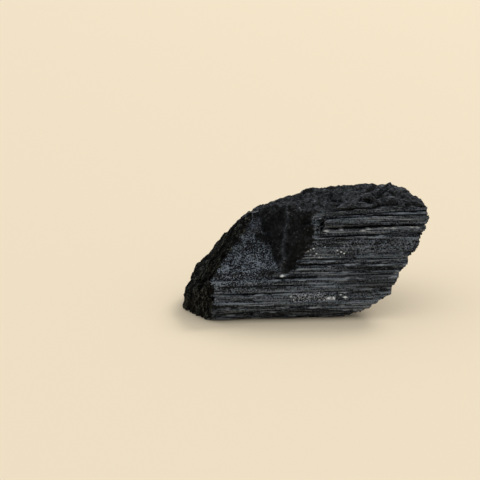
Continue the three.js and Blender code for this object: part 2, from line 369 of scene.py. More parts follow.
# The spine that the mesh's rays start on, and plain tops that close the section for them to aim at
SPINE_LEFT = np.array([-22.0, -1.0, 6.5])
SPINE_RIGHT = np.array([20.5, -2.5, 21.5])
AIMED_TOPS = [
    Face("top_back", section_facing(60), 25.5, "hackly"),
    Face("top_front", section_facing(115), 27.3, "hackly"),
]
FAR = 1000.0  # longer than any way out of the crystal
LEAST_RATE = 0.5  # the relief of a face that a ray grazes is drawn out no further than this allows
LEAVING_RATE = 1e-3  # a ray that nears a face more slowly than this doesn't meet it
GROOVE_STEPS = 4  # neighbours that a groove's depth is measured against
GROOVE_DEEP = 0.5
LEDGE_FULL = 0.6  # the drop of a ledge that counts in full
SHARP_ANGLE = math.radians(32)


# Chance and patterns

CHANCE_STEPS = (127.1, 311.7, 74.7)  # along the wave, for the two whole numbers and the seed
CHANCE_HEIGHT = 43758.5453
CHIP_UP_SEED = 0.3  # these four set a chip's place up the face, its tilts and its height apart by chance
CHIP_TILT_ACROSS_SEED = 0.5
CHIP_TILT_UP_SEED = 0.6
CHIP_HEIGHT_SEED = 0.7
ROW_SHORTEST = 0.5  # a row's pieces are as long as this and up to 1 more, in times their usual length
ROW_SHIFT = 10  # by up to how many pieces a row starts later
ROW_LENGTH_DRAW = 3
ROW_SHIFT_DRAW = 7


def chance(i, j, seed):
    """A repeatable number from 0 to 1 for a pair of whole numbers: the broken part of a tall sine wave."""
    step_i, step_j, step_seed = CHANCE_STEPS
    wave = np.sin(i * step_i + j * step_j + seed * step_seed) * CHANCE_HEIGHT
    return wave - np.floor(wave)


def swing(share):
    """A share from 0 to 1 as a number from -0.5 to 0.5."""
    return share - 0.5


def nearest_whole(value):
    """The nearest whole number, with a half taken up."""
    return np.floor(value + 0.5)


def ease(share):
    """3t^2 - 2t^3 of a share, which starts and ends level."""
    return share * share * (3 - 2 * share)


def ramp(value, low, high):
    """0 below low, 1 above high and eased between them."""
    return ease(np.clip((value - low) / (high - low), 0, 1))


def noise(x, y, seed):
    """Smooth noise from 0 to 1: chance at whole numbers, eased between them."""
    i, j = np.floor(x), np.floor(y)
    a, b = ease(x - i), ease(y - j)
    low = chance(i, j, seed) * (1 - a) + chance(i + 1, j, seed) * a
    high = chance(i, j + 1, seed) * (1 - a) + chance(i + 1, j + 1, seed) * a
    return low * (1 - b) + high * b


def chips(x, y, seed, tilt):
    """Flat chips: a place takes the height and tilt of the nearest of scattered points, one to a cell."""
    cell_x, cell_y = np.floor(x), np.floor(y)
    nearest = np.full(np.shape(x), np.inf)
    height = np.zeros(np.shape(x))
    for i in (cell_x - 1, cell_x, cell_x + 1):
        for j in (cell_y - 1, cell_y, cell_y + 1):
            away_x = x - i - chance(i, j, seed)
            away_y = y - j - chance(i, j, seed + CHIP_UP_SEED)
            distance = away_x ** 2 + away_y ** 2
            slope_x = swing(chance(i, j, seed + CHIP_TILT_ACROSS_SEED))
            slope_y = swing(chance(i, j, seed + CHIP_TILT_UP_SEED))
            chip = chance(i, j, seed + CHIP_HEIGHT_SEED) + tilt * (slope_x * away_x + slope_y * away_y)
            height = np.where(distance < nearest, chip, height)
            nearest = np.minimum(distance, nearest)
    return height


def row_place(along, row, length, seed):
    """Places along rows, counted in pieces of about a length, with each row's pieces and start its own."""
    piece = length * (ROW_SHORTEST + chance(row, ROW_LENGTH_DRAW, seed))
    return along / piece + ROW_SHIFT * chance(row, ROW_SHIFT_DRAW, seed)


def bars(along, up, length, width, seed):
    """Bars with square ends, from 0 to 1: chance by row and by piece of the row."""
    row = np.floor(up / width)
    return chance(row, np.floor(row_place(along, row, length, seed)), seed)


def streaks(along, up, length, width, seed):
    """Streaks that fade in and out, from 0 to 1: chance by row, eased from piece to piece along it."""
    row = np.floor(up / width)
    place = row_place(along, row, length, seed)
    piece = np.floor(place)
    share = ease(place - piece)
    return chance(row, piece, seed) * (1 - share) + chance(row, piece + 1, seed) * share


def layers_depth(finish, along, up, seed):
    """The sum of a finish's layers, each as deep below the face as above it."""
    depth = np.zeros(np.shape(along))
    for i, layer in enumerate(LAYERS[finish]):
        layer_seed = seed + (i + 1) * LAYER_SEED
        across = along + layer.lean * up
        if layer.pattern == "chips":
            height = chips(across / layer.long, up / layer.tall, layer_seed, layer.tilt)
        elif layer.pattern == "bars":
            height = bars(across, up, layer.long, layer.tall, layer_seed)
        else:
            height = streaks(across, up, layer.long, layer.tall, layer_seed)
        depth = depth + layer.depth * swing(height)
    return depth


# Relief of the faces

def section_corner(face, following):
    """Where two faces of the section meet, as (y, z)."""
    lines = np.array([face.out()[1:], following.out()[1:]])
    return np.linalg.solve(lines, [face.reach, following.reach])


def lane_depths(face, heights):
    """The depth of the lane at each height: a table that is read by the lanes' edges.

    Where no lanes are listed, their widths and depths are drawn by chance, with more narrow than wide ones.
    """
    if face.name in LANES:
        edges = np.array([edge for edge, _ in LANES[face.name]][::-1])
        depths = np.array([depth for _, depth in LANES[face.name]][::-1])
        return depths[np.clip(np.searchsorted(edges, heights) - 1, 0, len(depths) - 1)]
    i = SIDES.index(face)
    low = section_corner(SIDES[i - 1], face)
    high = section_corner(face, SIDES[i + 1])
    along = np.hypot(*(high - low)) * (heights - low[1]) / (high[1] - low[1])
    number = np.arange(LANE_MOST)
    widths = LANE_NARROW + (LANE_WIDE - LANE_NARROW) * chance(number, LANE_WIDTH_DRAW, face.seed) ** 2
    edges = LANE_WIDE + np.concatenate([[0.0], np.cumsum(widths)])
    depths = np.append(LANE_DEEPEST * chance(number, LANE_DEPTH_DRAW, face.seed), 0.0)
    return depths[np.clip(np.searchsorted(edges, along), 0, len(depths) - 1)]


def gap_depths(face, x, heights):
    """The depth of the missing lengths of lane, whose ends break into threads of uneven length."""
    depth = np.zeros(np.shape(x))
    row = np.floor(heights / GAP_ROW)
    for start, end, low, high, gap_depth, ragged in LANE_GAPS.get(face.name, []):
        thread = x + ragged * swing(chance(row, GAP_DRAW, face.seed + start))
        inside = (thread > start) & (thread < end) & (heights > low) & (heights < high)
        depth = np.where(inside, gap_depth, depth)
    return depth


def pit_depths(x, heights):
    """Four-sided pits, drawn by chance: as deep as a pit's radius in its middle and level at its rim."""
    number = np.arange(PIT_COUNT)
    radii, middles, levels = [
        low + (high - low) * chance(number, draw, PIT_SEED)
        for draw, (low, high) in enumerate((PIT_RADII, PIT_ALONG, PIT_HEIGHTS))]
    depth = np.zeros(np.shape(x))
    for radius, middle, level in zip(radii, middles, levels):
        depth = np.maximum(depth, radius - np.abs(x - middle) - np.abs(heights - level))
    return depth


def top_nearness(points):
    """1 on the broken top faces, falling to 0 at the width of the worn strip beside them."""
    tops = [face for face in BREAKS if face.finish == "hackly"]
    return ramp(np.max([face.beyond(points) for face in tops], axis=0), -WEAR_WIDTH, 0)


def zone_share(zones, points):
    """The largest share of the zones of the front that a point lies in, each ending softly and unevenly."""
    x, heights = points[..., 0], points[..., 2]
    wander = ZONE_WANDER * swing(noise(x / ZONE_WAVE_LONG, heights / ZONE_WAVE_TALL, SLOPE.seed))
    total = np.zeros(np.shape(x))
    for start, end, low, high, soft, share in zones:
        inside_x = np.minimum(x - start, end - x) / (ZONE_END_SOFT * soft) + wander
        inside_z = np.minimum(heights - low, high - heights) / soft + wander
        total = np.maximum(total, share * ramp(inside_x, 0, 1) * ramp(inside_z, 0, 1))
    return np.where(points[..., 1] < 0, total, 0)


def rim_share(points):
    """1 on the riser's plane, falling to 0 where the break that laps onto the front ends."""
    x, heights = points[..., 0], points[..., 2]
    wander = RIM_WANDER * swing(noise(x, heights, RISER.seed))
    width = np.interp(heights, RIM_HEIGHTS, RIM_WIDTHS) * (1 + wander)
    return np.where(SLOPE.beyond(points) > 0, np.clip(1 + RISER.beyond(points) / width, 0, 1), 0)


def lane_relief(face, points):
    """Striations: the depth of the lane or of the gap in it, with finer streaks and a worn upper edge.

    On the front, grains take the place of most of the lanes where the surface is sugary, there are pits, and
    the riser's break cuts into the lanes beside it.
    """
    x, heights = points[..., 0], points[..., 2]
    across = heights + LANE_WAVE * noise(x / WAVE_LONG, heights / WAVE_TALL, face.seed)
    depth = np.maximum(lane_depths(face, across), gap_depths(face, x, across))
    depth = depth + layers_depth("lanes", x, across, face.seed)
    if face.name == "front":
        sugary = SUGAR_OVER_LANES * zone_share(SUGAR_ZONES, points)
        depth = depth * (1 - sugary) + sugary * layers_depth("sugary", x, heights, face.seed)
        depth = depth + pit_depths(x, heights)
        rim = rim_share(points)
        broken = RIM_DEPTH * rim + layers_depth("smooth", x, heights, RISER.seed)
        depth = np.where(rim > 0, np.maximum(depth, broken), depth)
    return depth + WEAR_DEPTH * top_nearness(points)


def places_on(face, points):
    """How far points lie across and up a face from CENTRE."""
    out = face.out()
    across = np.cross([0.0, 0.0, 1.0], out)
    across = across / np.linalg.norm(across)
    away = points - CENTRE
    return away @ across, away @ np.cross(out, across)


def break_depths(face, across, up):
    """Lumps of two sizes, and lanes that end one behind the other where the face has ledges."""
    wide, tall = face.lump
    coarse = noise(across / wide, up / tall, face.seed)
    fine = noise(across * FINE_SCALE / wide, up * FINE_SCALE / tall, face.seed + FINE_SEED)
    depth = face.rough * (coarse * (1 - FINE_SHARE) + fine * FINE_SHARE)
    if face.ledge:
        row = nearest_whole(up / face.ledge)
        place = nearest_whole(across / (LEDGE_LENGTH * face.ledge))
        depth = depth + LEDGE_DEPTH * chance(row, place, face.seed)
    return depth


def gash_depths(face, points):
    """V grooves: deepest along their line and level at half their width and at their ends."""
    depth = np.zeros(points.shape[:-1])
    for middle, direction, (length, half_width, deepest) in GASHES:
        line = np.array(direction) / np.linalg.norm(direction)
        side = np.cross(face.out(), line)
        away = points - np.array(middle)
        beside = np.abs(away @ side) / half_width
        along = np.abs(away @ line) / (length / 2)
        depth = np.maximum(depth, deepest * np.clip(1 - beside, 0, 1) * ramp(1 - along, 0, GASH_FADE))
    return depth


def slope_lumps(across, up, heights):
    """Lumps of the slope's upper part, broken like the top."""
    wide, tall = SLOPE_LUMP
    share = ramp(heights, SLOPE_ROUGH_FROM, SLOPE_ROUGH_FULL)
    lumps = SLOPE_LUMP_DEPTH * swing(noise(across / wide, up / tall, SLOPE.seed))
    return share * (lumps + layers_depth("hackly", across, up, SLOPE.seed))


def riser_ridge(points):
    """1 along the ridge that runs down the riser, falling to 0 at its width."""
    across, up = places_on(RISER, points)
    wander = RIDGE_WANDER * swing(noise(up / RIDGE_WAVE, 0.0, RISER.seed))
    beside = np.abs(across - RIDGE_ACROSS - RIDGE_LEAN * up - wander) / RIDGE_WIDTH
    return 1 - ramp(beside, 0, 1)


def relief(face, points):
    """How deep the surface lies below a face's plane at each point, by the face's finish."""
    if face.finish == "flat":
        return np.zeros(points.shape[:-1])
    if face.finish == "lanes":
        return lane_relief(face, points)
    across, up = places_on(face, points)
    depth = break_depths(face, across, up) + layers_depth(face.finish, across, up, face.seed)
    if face.finish == "hackly":
        depth = depth + gash_depths(face, points)
    if face is SLOPE:
        trough = 1 - ramp(RISER.beyond(points), 0, TROUGH_WIDTH)
        depth = depth + TROUGH_DEPTH * trough + slope_lumps(across, up, points[..., 2])
    if face.name == "right_end":
        heights = points[..., 2]
        depth = depth + STEP_DEPTH * ramp(heights, *STEP_LOW) * (1 - ramp(heights, *STEP_HIGH))
    if face is RISER:
        depth = depth - RIDGE_HEIGHT * riser_ridge(points)
    return depth


# The surface

def outline_columns():
    """Points round the section that the columns aim at, as (y, z): each side shared out evenly."""
    tops_at = [face.name for face in SIDES].index("front")
    ring = SIDES[:tops_at] + AIMED_TOPS + SIDES[tops_at:]
    columns = []
    for i, face in enumerate(ring):
        start = section_corner(ring[i - 1], face)
        end = section_corner(face, ring[(i + 1) % len(ring)])
        count = round(np.hypot(*(end - start)) / SPACING_ROUND[face.name])
        share = np.arange(count)[:, None] / count
        columns.append(start + share * (end - start))
    return np.concatenate(columns)


def ray_fan():
    """Starts and directions of the rays, rows along the crystal by columns round it.

    Along the body a ray starts on a slanting spine and aims at its column's point in the same section, so
    columns run straight along the sides. At each end the start stays and the directions turn from the
    section to the crystal's axis.
    """
    columns = outline_columns()
    rows = round((SPINE_RIGHT[0] - SPINE_LEFT[0]) / SPACING_ALONG)
    share = np.linspace(0, 1, rows + 1)[:, None]
    turns = np.linspace(0, POLE_ANGLE, ROWS_AT_END + 1)[1:]
    body = SPINE_LEFT + share * (SPINE_RIGHT - SPINE_LEFT)
    starts = np.concatenate([
        np.repeat(SPINE_LEFT[None], ROWS_AT_END, 0), body, np.repeat(SPINE_RIGHT[None], ROWS_AT_END, 0)])
    angle = np.concatenate([-turns[::-1], np.zeros(len(body)), turns])[:, None]
    aim = columns[None] - starts[:, None, 1:]
    aim = aim / np.linalg.norm(aim, axis=-1, keepdims=True)
    forward = np.broadcast_to(np.sin(angle), aim.shape[:2])
    directions = np.concatenate([forward[..., None], np.cos(angle)[..., None] * aim], axis=-1)
    return np.broadcast_to(starts[:, None], directions.shape), directions


def taken(where, new, old):
    """The new arrays where a condition holds and the old ones elsewhere."""
    return [np.where(where, *pair) for pair in zip(new, old)]


def way_out(starts, directions):
    """(length, number of the face met, depth of its relief) for rays that start inside the crystal.

    A ray meets a face's plane after (reach - facing . start) / (facing . direction), and its relief sooner,
    by the depth over the same rate, held above LEAST_RATE so that a ray that grazes the face doesn't draw
    the relief out. A cut is met at the last of its faces, and the crystal ends at the first cut that is met.
    """
    shape = directions.shape[:-1]
    first = [np.full(shape, FAR), np.zeros(shape, int), np.zeros(shape)]
    number = 0
    for cut in CUTS:
        last = [np.full(shape, -FAR), np.zeros(shape, int), np.zeros(shape)]
        for face in cut:
            out = face.out()
            rate = directions @ out
            leaves = rate > LEAVING_RATE
            rate = np.where(leaves, rate, 1.0)
            plain = np.where(leaves, (face.reach - starts @ out) / rate, 0.0)
            depth = relief(face, starts + plain[..., None] * directions)
            length = np.where(leaves, plain - depth / np.maximum(rate, LEAST_RATE), FAR)
            last = taken(length > last[0], (length, number, depth), last)
            number += 1
        first = taken(last[0] < first[0], last, first)
    return first


def spread(values, steps):
    """The mean of each value and its neighbours up to so many steps away, along columns and rows."""
    count = 2 * steps + 1
    total = sum(np.roll(values, k, axis=1) for k in range(-steps, steps + 1)) / count
    padded = np.pad(total, ((steps, steps), (0, 0)), mode="edge")
    rows = len(values)
    return sum(padded[k:k + rows] for k in range(count)) / count


def by_finish(finish, shares):
    """The share of each point's own finish, and 0 for finishes that aren't named."""
    total = np.zeros(np.shape(finish))
    for name, share in shares.items():
        total = np.where(finish == FINISHES.index(name), share, total)
    return total


def lapped_finish(points, finish):
    """The finishes, with bark where the rind laps over the slope, and the riser's finish on its rim."""
    left_end = next(face for face in BREAKS if face.name == "left_end")
    wander = RIND_WANDER * swing(noise(points[..., 0], points[..., 2], left_end.seed))
    lap = np.interp(points[..., 2], RIND_HEIGHTS, RIND_LAPS) + wander
    rind = (finish == FINISHES.index("sugary")) & (left_end.beyond(points) > -lap)
    rim = (finish == FINISHES.index("lanes")) & (points[..., 1] < 0) & (rim_share(points) > 0)
    return np.where(rind, FINISHES.index("bark"), np.where(rim, FINISHES.index("smooth"), finish))


def grain_share(points, finish):
    """How much light grain shows: on all of the slope, in zones of the front and on the riser's ridge."""
    shares = {"lanes": zone_share(SUGAR_ZONES, points), "sugary": 1.0, "smooth": riser_ridge(points)}
    return by_finish(finish, shares)


def rough_share(points, finish):
    """How rough and dull the surface is: wholly on the broken top and the riser, partly beside the top."""
    slope = ramp(points[..., 2], SLOPE_ROUGH_FROM, SLOPE_ROUGH_FULL)
    shares = {
        "lanes": WORN_ROUGH * top_nearness(points),
        "hackly": 1.0,
        "splintered": SPLINTER_ROUGH,
        "sugary": SLOPE_TOP_ROUGH * slope,
        "smooth": 1 - RIDGE_GRAIN * riser_ridge(points),
    }
    return by_finish(finish, shares)


def shade_share(points, finish):
    """How dark the surface is, by painted shade and by darker tone.

    Painted shade darkens the riser but for its ridge and top, the slope's foot, the back, what is near the
    floor and the darkest lines of the front. Darker tone lies in patches of the slope's top and zones of the
    front.
    """
    heights = points[..., 2]
    ridge = riser_ridge(points)
    riser = RISER_SHADE + (RISER_TOP_SHADE - RISER_SHADE) * np.maximum(ramp(heights, *RISER_TOP), ridge)
    foot = FOOT_SHADE * (1 - ramp(RISER.beyond(points), TROUGH_WIDTH / 2, TROUGH_WIDTH))
    patches = ramp(noise(points[..., 0] / DARK_PATCH, heights / DARK_PATCH, SLOPE.seed), *DARK_PATCH_RANGE)
    slope = np.maximum(foot, SLOPE_TOP_DARK * patches * ramp(heights, *DARK_PATCH_FROM))
    back = BACK_SHADE * ramp(points[..., 1], *BACK_FROM)
    side = np.maximum(back, FLOOR_SHADE * (1 - ramp(heights, 0, FLOOR_SHADE_TO)))
    shade = by_finish(finish, {"lanes": side, "splintered": side, "sugary": slope, "smooth": riser})
    lines = [(start, end, level - LINE_TALL / 2, level + LINE_TALL / 2, LINE_SOFT, LINE_SHADE)
             for start, end, level in SHADED_GROOVE_LINES]
    return np.maximum(shade, zone_share(DARK_ZONES + lines, points))


def glint_spark_share(points):
    """The brightness of each spark, a painted glint on the front, falling to 0 at its ends and edges."""
    x, heights = points[..., 0], points[..., 2]
    total = np.zeros(np.shape(x))
    for middle, level, half_long, half_tall, brightness in GLINT_SPARKS:
        inside = 1 - np.abs(x - middle) / half_long - np.abs(heights - level) / half_tall
        total = np.maximum(total, brightness * np.clip(inside / SPARK_CORE, 0, 1))
    return np.where(points[..., 1] < 0, total, 0)


def ledge_share(points, depth):
    """How much a point lies on a ledge that looks up: how much deeper the relief above it is than below."""
    before, after = np.roll(depth, 1, axis=1), np.roll(depth, -1, axis=1)
    drop = np.where(points[..., 1] < 0, before - after, after - before)
    return np.clip(drop / LEDGE_FULL, 0, 1)


def crystal_surface():
    """(vertices, quads, pole triangles, attributes of the vertices) of the closed surface.

    Each point is its ray's start plus the ray's length times its direction. The first and the last row
    close on one point each, their mean.
    """
    starts, directions = ray_fan()
    length, met, depth = way_out(starts, directions)
    points = starts + length[..., None] * directions
    points[..., 2] = np.maximum(points[..., 2], 0.0)
    rows, columns = length.shape
    faces = [face for cut in CUTS for face in cut]
    finish = lapped_finish(points, np.array([FINISHES.index(face.finish) for face in faces])[met])
    shares = {
        "finish": finish,
        # groove: how much deeper a point lies than its neighbours, which the materials darken as painted
        # shade
        "groove": np.clip((depth - spread(depth, GROOVE_STEPS)) / GROOVE_DEEP, -1, 1),
        "ledge": ledge_share(points, depth),
        "grain": grain_share(points, finish),
        "rough": rough_share(points, finish),
        "shade": shade_share(points, finish),
        "stain": zone_share(STAIN_ZONES, points),
        "glint_speckled": by_finish(finish, {"lanes": zone_share(GLINT_SPECK_ZONES, points), "smooth": RISER_GLINT_SPECKS}),
        "sugar_glint": zone_share(SUGAR_GLINT_ZONES, points),
        "spark": glint_spark_share(points),
    }
    index = np.arange(rows * columns).reshape(rows, columns)
    right = np.roll(index, -1, axis=1)
    quads = np.stack([index[:-1], right[:-1], right[1:], index[1:]], axis=-1).reshape(-1, 4)
    left_pole, right_pole = rows * columns, rows * columns + 1
    fan_left = np.stack([np.full(columns, left_pole), right[0], index[0]], axis=-1)
    fan_right = np.stack([np.full(columns, right_pole), index[-1], right[-1]], axis=-1)
    poles = np.stack([points[0].mean(0), points[-1].mean(0)])
    vertices = np.concatenate([points.reshape(-1, 3), poles]) - MIDDLE
    attributes = {
        name: np.append(share.ravel(), [share[0, 0], share[-1, 0]]) for name, share in shares.items()}
    return vertices, quads, np.concatenate([fan_left, fan_right]), attributes


def mesh_from_arrays(name, vertices, quads, triangles):
    """A mesh of these vertices, in millimetres, and faces."""
    mesh = bpy.data.meshes.new(name)
    mesh.from_pydata(vertices * MM, [], quads.tolist() + triangles.tolist())
    mesh.validate()
    return mesh


# Materials

# Noise: its waves in a metre along X, Y and Z, its detail and, where it isn't the usual, its roughness
THREADS = ((90, 2600, 2600), 1.5)
BANDS = ((30, 700, 700), 3.0)
SUGAR = ((2900, 2900, 2900), 1.0)
LUMPS = ((1500, 1500, 1500), 4.0, 0.75)
PATCHES = ((450, 450, 450), 3.0)
DASHES = ((300, 1500, 1500), 2.0)
NEEDLES = ((520, 2600, 2600), 1.5)
BARK_PATCHES = ((300, 300, 300), 3.0)
TOOTH = ((900, 900, 900), 4.0)
# Painted glints, as dots
GLINT_SPECKS = ((1000, 1300, 1300), 0.3, 0.45)  # dots: cells in a metre, radius in cells and share of the cells
NEEDLE_TURN = math.radians(51)  # the slope of the left end
NEEDLE_LEANS = (math.radians(24), math.radians(-20))  # how far the needles lean to either side of it

# Weights of noises that are added up
STREAK_WEIGHTS = (0.42, 0.38, 0.2)
MOTTLE_WEIGHTS = (0.65, 0.35)
FACET_WEIGHTS = (0.78, 0.22)
NEEDLE_WEIGHTS = (0.5, 0.5)

# Ranges of a noise or of an attribute over which a colour comes in, and the most that it covers
STREAK_RANGE = (0.45, 0.59)
# Painted highlights: the bright threads along the striations
THREAD_GLINT_RANGE = (0.58, 0.7)
THREAD_GLINT_MOST = 0.55
MOTTLE_RANGE = (0.475, 0.595)
FACET_RANGE = (0.46, 0.64)
STAIN_RANGE = (0.4, 0.6)
# Painted shade in grooves, by the groove attribute
GROOVE_SHADE_RANGE = (0.22, 0.8)
GROOVE_SHADE_MOST = 0.97
UNLIT_RANGE = (0.2, 0.7)
# Painted glints on ledges that look up
GLINT_RANGE = (0.54, 0.64)
# Painted glints in the sugary grain
SUGAR_GLINT_RANGE = (0.44, 0.58)
NEEDLE_RANGE = (0.59, 0.69)
DUST_RANGE = (0.36, 0.56)
# Painted shade in the bark's grooves
BARK_GROOVE_SHADE_RANGE = (0.0, 0.5)

# Gloss: ranges of a noise and the roughness of the surface at either end of them
FACE_GLOSS = (0.42, 0.6, 0.46, 0.2)
BARK_GLOSS = (0.4, 0.6, 0.65, 0.4)
BROKEN_ROUGHNESS = 0.62
TOURMALINE_IOR = 1.63
FACE_SPECULAR = 0.07
BARK_SPECULAR = 0.045
FACE_BUMP = 0.0005  # the depth of the finest relief, in metres
BARK_BUMP = 0.0006
PAPER_TOOTH = 0.985  # the darker shade of the paper's tooth
PAPER_ROUGHNESS = 0.9
PAPER_SPECULAR = 0.1

# The mix node's sockets for the share and what is mixed, and for the result, by their numbers
COLOUR_SOCKETS = (0, 6, 7)
COLOUR_RESULT = 2
NUMBER_SOCKETS = (0, 2, 3)
NUMBER_RESULT = 0


class Shader:
    """A material's node tree, with short ways to add and link its nodes."""

    def __init__(self, name):
        self.material = bpy.data.materials.new(name)
        self.material.use_nodes = True
        self.tree = self.material.node_tree
        self.principled = self.tree.nodes["Principled BSDF"]

    def feed(self, node, inputs):
        """Sets a node's inputs to values or links them to sockets."""
        for key, value in inputs.items():
            if isinstance(value, bpy.types.NodeSocket):
                self.tree.links.new(value, node.inputs[key])
            else:
                node.inputs[key].default_value = value

    def node(self, kind, inputs, **settings):
        """A new node with these settings and inputs."""
        made = self.tree.nodes.new(kind)
        for key, value in settings.items():
            setattr(made, key, value)
        self.feed(made, inputs)
        return made

    def place(self, scale, turn=0.0):
        """The object's own coordinates, turned about Y and then counted in waves to the metre."""
        place = self.node("ShaderNodeTexCoord", {}).outputs["Object"]
        turned = self.node("ShaderNodeMapping", {"Vector": place, "Rotation": (0.0, turn, 0.0)})
        inputs = {"Vector": turned.outputs["Vector"], "Scale": scale}
        return self.node("ShaderNodeMapping", inputs).outputs["Vector"]

    def grain(self, scale, detail, roughness=0.6, turn=0.0):
        """Noise with so many waves in a metre along X, Y and Z."""
        inputs = {"Vector": self.place(scale, turn), "Scale": 1.0, "Detail": detail, "Roughness": roughness}
        return self.node("ShaderNodeTexNoise", inputs).outputs["Fac"]

    def dots(self, scale, radius, share):
        """Round dots: 1 near a share of the points, one to a cell, falling to 0 at a radius in cells."""
        cells = self.node("ShaderNodeTexVoronoi", {"Vector": self.place(scale), "Scale": 1.0})
        chosen = self.math("GREATER_THAN", cells.outputs["Color"], 1 - share)
        return self.math("MULTIPLY", chosen, self.between(cells.outputs["Distance"], radius, radius / 2))

    def attribute(self, name):
        """A number that the mesh holds at each vertex."""
        return self.node("ShaderNodeAttribute", {}, attribute_name=name).outputs["Fac"]

    def between(self, value, low, high, to_low=0.0, to_high=1.0):
        """The value carried from one range to another and held inside it."""
        inputs = {"Value": value, "From Min": low, "From Max": high, "To Min": to_low, "To Max": to_high}
        return self.node("ShaderNodeMapRange", inputs).outputs["Result"]

    def mix(self, share, first, second):
        """Two colours mixed by a share."""
        inputs = dict(zip(COLOUR_SOCKETS, (share, first, second)))
        return self.node("ShaderNodeMix", inputs, data_type="RGBA").outputs[COLOUR_RESULT]

    def blend(self, share, first, second):
        """Two numbers mixed by a share."""
        inputs = dict(zip(NUMBER_SOCKETS, (share, first, second)))
        return self.node("ShaderNodeMix", inputs, data_type="FLOAT").outputs[NUMBER_RESULT]

    def math(self, operation, first, second):
        """A sum, product or other operation on two numbers."""
        return self.node("ShaderNodeMath", {0: first, 1: second}, operation=operation).outputs[0]

    def total(self, values, weights):
        """The sum of numbers, each times its weight."""
        parts = [self.math("MULTIPLY", value, weight) for value, weight in zip(values, weights)]
        while len(parts) > 1:
            parts.append(self.math("ADD", parts.pop(0), parts.pop(0)))
        return parts[0]

    def bump(self, height, distance):
        """The normal of a fine relief, from its height between 0 and 1 and its full depth."""
        inputs = {"Height": height, "Strength": 1.0, "Distance": distance}
        return self.node("ShaderNodeBump", inputs).outputs["Normal"]

    def finish(self, **inputs):
        """Sets or links the shader's own sockets, with _ for the spaces in their names."""
        self.feed(self.principled, {key.replace("_", " "): value for key, value in inputs.items()})
        return self.material


def colour(value):
    """A colour with its alpha for a node's socket."""
    return (*value, 1.0)


def face_material(settings):
    """Fresh faces: streaks along the crystal, with grain, rough and dark patches where the mesh says.

    Painted shade darkens grooves and shaded places, and painted highlights and sheen lighten streaks, ledges
    and specks.
    """
    shader = Shader("tourmaline_face")
    # deep is the near-black of the broken top's dark grains and of the painted shade
    face, deep, glint = [
        colour(value) for value in (settings.face_colour, settings.black_and_shade_colour, settings.glint_colour)]
    threads, bands, sugar, lumps, patches, dashes = [
        shader.grain(*noise_kind) for noise_kind in (THREADS, BANDS, SUGAR, LUMPS, PATCHES, DASHES)]
    groove, ledge, grainy, rough, shade, stain, glint_speckled, sugar_glint, spark = [
        shader.attribute(name)
        for name in ("groove", "ledge", "grain", "rough", "shade", "stain", "glint_speckled", "sugar_glint", "spark")]

    streak = shader.total((threads, sugar, bands), STREAK_WEIGHTS)
    # The lighter streaks' colour holds painted sheen as well as the striations' lighter grain
    striated = shader.mix(shader.between(streak, *STREAK_RANGE), face, colour(settings.streak_and_sheen_colour))
    # Painted highlights: bright threads along the striations
    striated = shader.mix(shader.between(threads, *THREAD_GLINT_RANGE, 0.0, THREAD_GLINT_MOST), striated, glint)
    mottle = shader.total((sugar, patches), MOTTLE_WEIGHTS)
    # The sugary grain's colour holds painted sheen as well as its lighter grain
    sugared = shader.mix(shader.between(mottle, *MOTTLE_RANGE), face, colour(settings.sugar_and_sheen_colour))
    facets = shader.total((lumps, patches), FACET_WEIGHTS)
    dull = shader.mix(shader.between(facets, *FACET_RANGE), deep, colour(settings.dull_colour))
    body = shader.mix(grainy, striated, sugared)
    body = shader.mix(rough, body, dull)
    stained = shader.math("MULTIPLY", stain, shader.between(bands, *STAIN_RANGE))
    body = shader.mix(stained, body, colour(settings.stain_colour))
    # Painted shade where the shade attribute says, with darker tone in some patches and zones
    body = shader.mix(shade, body, deep)
    # Painted shade in grooves and pits
    body = shader.mix(shader.between(groove, *GROOVE_SHADE_RANGE, 0.0, GROOVE_SHADE_MOST), body, deep)
    # Painted glints on ledges that look up, fading where shade is painted
    lit_ledge = shader.math("MULTIPLY", ledge, shader.between(shade, *UNLIT_RANGE, 1.0, 0.0))
    glinting = shader.math("MULTIPLY", lit_ledge, shader.between(dashes, *GLINT_RANGE))
    body = shader.mix(glinting, body, glint)
    # Painted glints in the sugary grain
    sugar_glints = shader.math("MULTIPLY", sugar_glint, shader.between(sugar, *SUGAR_GLINT_RANGE))
    body = shader.mix(sugar_glints, body, glint)
    # Painted glints: specks and sparks
    bright = shader.math("MULTIPLY", shader.dots(*GLINT_SPECKS), glint_speckled)
    bright = shader.math("MAXIMUM", bright, spark)
    body = shader.mix(bright, body, colour(settings.glint_speck_colour))

    height = shader.blend(grainy, streak, sugar)
    height = shader.blend(rough, height, lumps)
    gloss = shader.blend(rough, shader.between(threads, *FACE_GLOSS), BROKEN_ROUGHNESS)
    return shader.finish(
        Base_Color=body, Roughness=gloss, IOR=TOURMALINE_IOR, Specular_IOR_Level=FACE_SPECULAR,
        Normal=shader.bump(height, FACE_BUMP))


